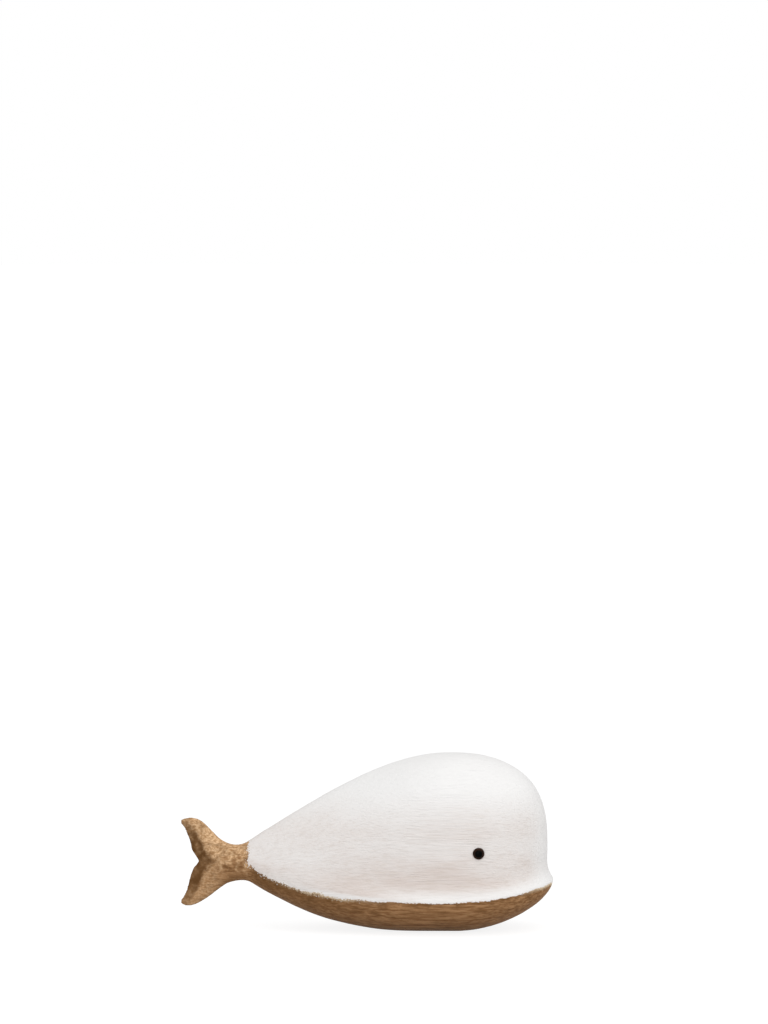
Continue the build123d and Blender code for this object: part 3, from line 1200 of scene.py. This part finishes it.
        # The trailing bevels get darker stain and painted shade where they face away from the light.
        shades = [self.bevel_shade * self.tail.shade(points, clouds),
                  self.edge_shade_strength * edge_shade, self.soaked_shade * soaked]
        values = {Attribute.PAINT: paint, Attribute.RAGGED: self.coat.raggedness(points),
                  Attribute.THIN: self.coat.thinness_and_shade(points), Attribute.HAZE: self.coat.haze(points),
                  Attribute.TAN: self.tail.paleness(points, clouds),
                  Attribute.SHADE: np.maximum.reduce(shades)}
        for name, value in values.items():
            write_values(mesh, name, value)

    def build(self, skin: Mesh) -> dict[Block, Piece]:
        """Cut and label the three blocks.

        Args:
            skin: The worked skin.

        Returns:
            The piece for each block.
        """
        pieces = {}
        for block in Block:
            mesh = self.cut(skin, block)
            self.label(mesh)
            pieces[block] = new_object(block.value + "_carved", mesh)
        return pieces

    def dress(self, pieces: dict[Block, Piece]) -> None:
        """Paint and stain the blocks and hang them on the frame.

        Args:
            pieces: The piece for each block.
        """
        finishes = {slot: PaintedWood(slot.value).material() for slot in (Slot.PAINT, Slot.STAIN)}
        for block, piece in pieces.items():
            slot = Slot.PAINT if block is Block.UPPER else Slot.STAIN
            piece.data.materials.append(finishes[slot])
            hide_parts(block.value)
            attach(piece, "root")
            log.info("%s: %d points", piece.name, len(piece.data.vertices))


@dataclass
class PaintFlecks:
    """Specks of paint that the brush left on the bare wood beside the paint's edge."""

    reach: float = 3.5 * MILLIMETRE
    spots: float = 3.2e5
    smallest: float = 0.12 * MILLIMETRE
    largest: float = 0.36 * MILLIMETRE
    thickness: float = 0.1 * MILLIMETRE
    sides: int = 8
    rings: int = 4
    seed: int = 3

    def share(self, coat: Coat, points: Array) -> Array:
        """How thickly specks lie at points: close below the paint's rough edge, few along the lip.

        Args:
            coat: The body's paint.
            points: The points, one a row.

        Returns:
            The share of the most specks at each.
        """
        below = -coat.distance(points)
        near = (1.0 - smooth_step((0.0, self.reach), below)) * (below > 0)
        return near ** 2 * (1.0 - coat.neatness(points))

    def group(self) -> bpy.types.NodeTree:
        """Build the nodes that scatter the specks over a surface.

        Returns:
            The nodes, with an input for each size.
        """
        group = bpy.data.node_groups.new("paint_flecks", "GeometryNodeTree")
        kinds = {"Surface": "Geometry", "Spots": "Float", "Smallest": "Float", "Largest": "Float",
                 "Thickness": "Float", "Sides": "Int", "Rings": "Int", "Seed": "Int", "Finish": "Material"}
        for name, kind in kinds.items():
            group.interface.new_socket(name, in_out="INPUT", socket_type="NodeSocket" + kind)
        group.interface.new_socket("Flecks", in_out="OUTPUT", socket_type="NodeSocketGeometry")
        tree = Tree(group)
        given = tree.add("NodeGroupInput").outputs
        named = {"Name": Attribute.FLECKS.value}
        share = tree.add("GeometryNodeInputNamedAttribute", named, data_type="FLOAT")
        density = tree.math("MULTIPLY", share.outputs["Attribute"], given["Spots"])
        scatter = tree.add("GeometryNodeDistributePointsOnFaces", {
            "Mesh": given["Surface"], "Density": density, "Seed": given["Seed"]}).outputs
        speck = tree.add("GeometryNodeMeshUVSphere", {
            "Segments": given["Sides"], "Rings": given["Rings"], "Radius": 1.0})
        size = tree.add("ShaderNodeCombineXYZ", {"Z": given["Thickness"]})
        for turn, axis in enumerate("XY"):
            width = tree.add("FunctionNodeRandomValue", {"Seed": self.seed + turn}, data_type="FLOAT")
            low, high = [s for s in width.inputs if s.enabled and s.name in ("Min", "Max")]
            value = next(s for s in width.outputs if s.enabled)
            group.links.new(given["Smallest"], low)
            group.links.new(given["Largest"], high)
            group.links.new(value, size.inputs[axis])
        place = tree.add("GeometryNodeInstanceOnPoints", {
            "Points": scatter["Points"], "Instance": speck.outputs["Mesh"],
            "Rotation": scatter["Rotation"], "Scale": size.outputs[0]})
        whole = tree.add("GeometryNodeRealizeInstances", {"Geometry": place.outputs["Instances"]})
        finish = tree.add("GeometryNodeSetMaterial", {
            "Geometry": whole.outputs["Geometry"], "Material": given["Finish"]})
        tree.add("NodeGroupOutput", {0: finish.outputs["Geometry"]})
        return group

    def build(self, coat: Coat, skin: Mesh, paint: Material) -> Piece:
        """Scatter the specks over the worked skin.

        Args:
            coat: The body's paint.
            skin: The body's skin, which is used up.
            paint: The specks' material.

        Returns:
            The specks as one piece.
        """
        write_values(skin, Attribute.FLECKS, self.share(coat, points_of(skin)))
        holder = new_object("flecks", skin)
        scatter = holder.modifiers.new("scatter", "NODES")
        scatter.node_group = self.group()
        values = {"Spots": self.spots, "Smallest": self.smallest, "Largest": self.largest,
                  "Thickness": self.thickness, "Sides": self.sides, "Rings": self.rings,
                  "Seed": self.seed, "Finish": paint}
        for item in scatter.node_group.interface.items_tree:
            if item.in_out == "INPUT" and item.name in values:
                scatter[item.identifier] = values[item.name]
        mesh = settle(holder)
        mesh.name = "paint_flecks"
        mesh.shade_smooth()
        return new_object("paint_flecks", mesh)

    def dress(self, flecks: Piece) -> None:
        """Hang the specks on the frame.

        Args:
            flecks: The specks.
        """
        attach(flecks, "root")
        log.info("%s: %d points", flecks.name, len(flecks.data.vertices))


@dataclass
class Pegs:
    """The dowels inside the joints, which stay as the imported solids."""

    wood: PegWood = PegWood()

    def dress(self) -> None:
        """Give the dowels their wood."""
        wood = self.wood.material()
        for node in PEG_NODES:
            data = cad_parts[node].data
            data.materials.clear()
            data.materials.append(wood)
            log.info("%s: dressed", node)


@dataclass(frozen=True)
class Lamp:
    """A square soft lamp that faces the whale."""

    name: str
    power: float
    place: Triple
    size: float

    def hang(self) -> None:
        """Hang the lamp in its place."""
        light = bpy.data.lights.new(self.name, "AREA")
        light.energy = self.power
        light.size = self.size
        holder = new_object(self.name, light)
        holder.location = self.place
        middle = (CAD_BOX[0] + CAD_BOX[1]) / 2
        holder.rotation_euler = (middle - Vector(self.place)).to_track_quat("-Z", "Y").to_euler()


@dataclass
class Studio:
    """A white floor, soft light from above and a long lens at the photograph's angle."""

    floor_size: float = 40.0
    floor_bounce: float = 0.68
    floor_glow: float = 0.86
    floor_shade: float = 0.24
    sky: float = 0.7
    lamps: tuple[Lamp, ...] = (Lamp("key", 6.4, (0.4, -1.0, 1.2), 1.4),
                               Lamp("side", 2.4, (1.5, -0.6, 0.7), 1.0),
                               Lamp("front", 3.65, (-0.4, -1.5, 0.5), 1.0))
    elevation: float = 8.0
    lens: float = 200.0
    sensor: float = 36.0
    view_end: float = 100.0
    image: tuple[int, int] = (768, 1024)
    pixel: float = 0.70 * MILLIMETRE
    middle_at: tuple[float, float] = (367.5, 928.5)

    @staticmethod
    def either(tree: Tree, others: bpy.types.Node, direct: bpy.types.Node) -> Socket:
        """Choose a shader by how it is seen.

        Args:
            tree: The tree to build in.
            others: The shader for rays that light the whale.
            direct: The shader for rays from the camera, from gloss and through glass.

        Returns:
            The chosen shader.
        """
        path = tree.add("ShaderNodeLightPath").outputs
        seen = path["Is Camera Ray"]
        for kind in ("Is Glossy Ray", "Is Transmission Ray"):
            seen = tree.math("MAXIMUM", seen, path[kind])
        inputs = {0: seen, 1: others.outputs[0], 2: direct.outputs[0]}
        return tree.add("ShaderNodeMixShader", inputs).outputs[0]

    def light_world(self) -> None:
        """White to look at, and an even soft light."""
        world = bpy.data.worlds.new("studio")
        world.use_nodes = True
        tree = Tree(world.node_tree)
        soft = tree.add("ShaderNodeBackground", {"Color": WHITE, "Strength": self.sky})
        white = tree.add("ShaderNodeBackground", {"Color": WHITE})
        tree.add("ShaderNodeOutputWorld", {"Surface": self.either(tree, soft, white)})
        bpy.context.scene.world = world

    def lay_floor(self) -> None:
        """A white floor that keeps the whale's shadow."""
        half = self.floor_size / 2
        mesh = bpy.data.meshes.new("floor")
        corners = [(-half, -half, 0), (half, -half, 0), (half, half, 0), (-half, half, 0)]
        mesh.from_pydata(corners, [], [(0, 1, 2, 3)])
        graph = Graph("floor")
        bounce = graph.add("ShaderNodeBsdfDiffuse", {"Color": (self.floor_bounce,) * 3 + (1.0,)})
        shade = graph.add("ShaderNodeBsdfDiffuse", {"Color": (self.floor_shade,) * 3 + (1.0,)})
        glow = graph.add("ShaderNodeEmission", {"Strength": self.floor_glow})
        shown = graph.add("ShaderNodeAddShader", {0: glow.outputs[0], 1: shade.outputs[0]})
        graph.add("ShaderNodeOutputMaterial", {"Surface": self.either(graph, bounce, shown)})
        mesh.materials.append(graph.material)
        floor = new_object("floor", mesh)

    def set_camera(self) -> None:
        """A long lens, so placed that the whale falls where the photograph has it."""
        depth = self.image[1] * self.pixel * self.lens / self.sensor
        across = (self.middle_at[0] - self.image[0] / 2) * self.pixel
        below = (self.middle_at[1] - self.image[1] / 2) * self.pixel
        tilt = math.radians(self.elevation) - math.atan2(below, depth)
        forward = Vector((0, math.cos(tilt), -math.sin(tilt)))
        upward = Vector((0, math.sin(tilt), math.cos(tilt)))
        data = bpy.data.cameras.new("camera")
        data.lens = self.lens
        data.sensor_width = self.sensor
        data.clip_end = self.view_end
        camera = new_object("camera", data)
        camera.location = -(Vector((across, 0, 0)) - upward * below + forward * depth)
        camera.rotation_euler = (math.pi / 2 - tilt, 0, 0)
        bpy.context.scene.camera = camera

    def build(self) -> None:
        """Set up the floor, the light and the camera."""
        bpy.context.scene.view_settings.view_transform = "Standard"
        self.light_world()
        self.lay_floor()
        for lamp in self.lamps:
            lamp.hang()
        self.set_camera()
        log.info("studio: ready")


def main() -> None:
    """Build the whale piece by piece and report each one."""
    carving = Carving()
    skin = carving.worked()
    carving.dress(carving.build(skin))
    flecks = PaintFlecks()
    flecks.dress(flecks.build(carving.coat, skin, Paint().material()))
    glass = BeadGlass().material()
    for node in EYE_NODES:
        eye = BeadEye(node)
        eye.dress(eye.build(), glass)
    Pegs().dress()
    Studio().build()


if __name__ == "__main__":
    logging.basicConfig(level=logging.INFO, format="%(name)s: %(message)s")
    main()
